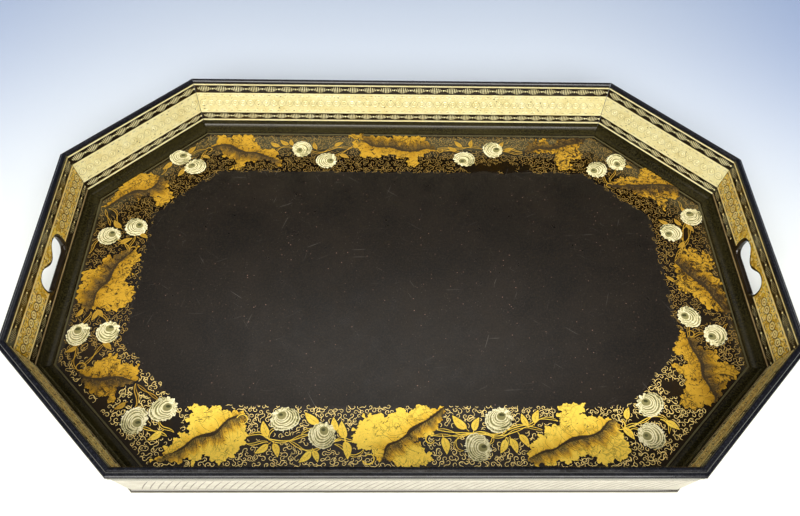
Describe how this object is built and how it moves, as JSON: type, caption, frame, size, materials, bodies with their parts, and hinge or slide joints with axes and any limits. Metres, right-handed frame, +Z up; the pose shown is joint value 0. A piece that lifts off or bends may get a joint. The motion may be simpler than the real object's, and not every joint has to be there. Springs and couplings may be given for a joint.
{
  "type": "octagonal gallery tray",
  "caption": "Octagonal serving tray with leaning gallery sides, kidney-shaped handholds at both ends, a reeded rim and a gilt painted border of leaves and white roses.",
  "frame": {"origin": "centre of the flat underside, on the surface that the tray stands on", "axes": "+X along the length through the two handholds, +Y across the width towards the back, +Z up"},
  "size_m": [0.7692, 0.5002, 0.072],
  "materials": {
    "floor_lacquer": "black-brown japanned lacquer over paper board, rubbed satin gloss with fine scratches",
    "gallery_lacquer": "black japanned lacquer over paper board, gloss",
    "rim_lacquer": "black japanned lacquer over a reeded moulding, high gloss",
    "cove_lacquer": "black japanned lacquer over a concave fillet, satin gloss",
    "gilding": "gilt paint, warm and slightly worn, hatched in dark brown",
    "rose_paint": "cream white paint shaded with grey green"
  },
  "bodies": {
    "root": {"floor_panel": "floor_lacquer", "gallery_panel_right": "gallery_lacquer", "gallery_panel_back_right": "gallery_lacquer", "gallery_panel_back": "gallery_lacquer", "gallery_panel_back_left": "gallery_lacquer", "gallery_panel_left": "gallery_lacquer", "gallery_panel_front_left": "gallery_lacquer", "gallery_panel_front": "gallery_lacquer", "gallery_panel_front_right": "gallery_lacquer", "rim_moulding_right": "rim_lacquer", "rim_moulding_back_right": "rim_lacquer", "rim_moulding_back": "rim_lacquer", "rim_moulding_back_left": "rim_lacquer", "rim_moulding_left": "rim_lacquer", "rim_moulding_front_left": "rim_lacquer", "rim_moulding_front": "rim_lacquer", "rim_moulding_front_right": "rim_lacquer", "cove_fillet_right": "cove_lacquer", "cove_fillet_back_right": "cove_lacquer", "cove_fillet_back": "cove_lacquer", "cove_fillet_back_left": "cove_lacquer", "cove_fillet_left": "cove_lacquer", "cove_fillet_front_left": "cove_lacquer", "cove_fillet_front": "cove_lacquer", "cove_fillet_front_right": "cove_lacquer"}
  },
  "joints": []
}
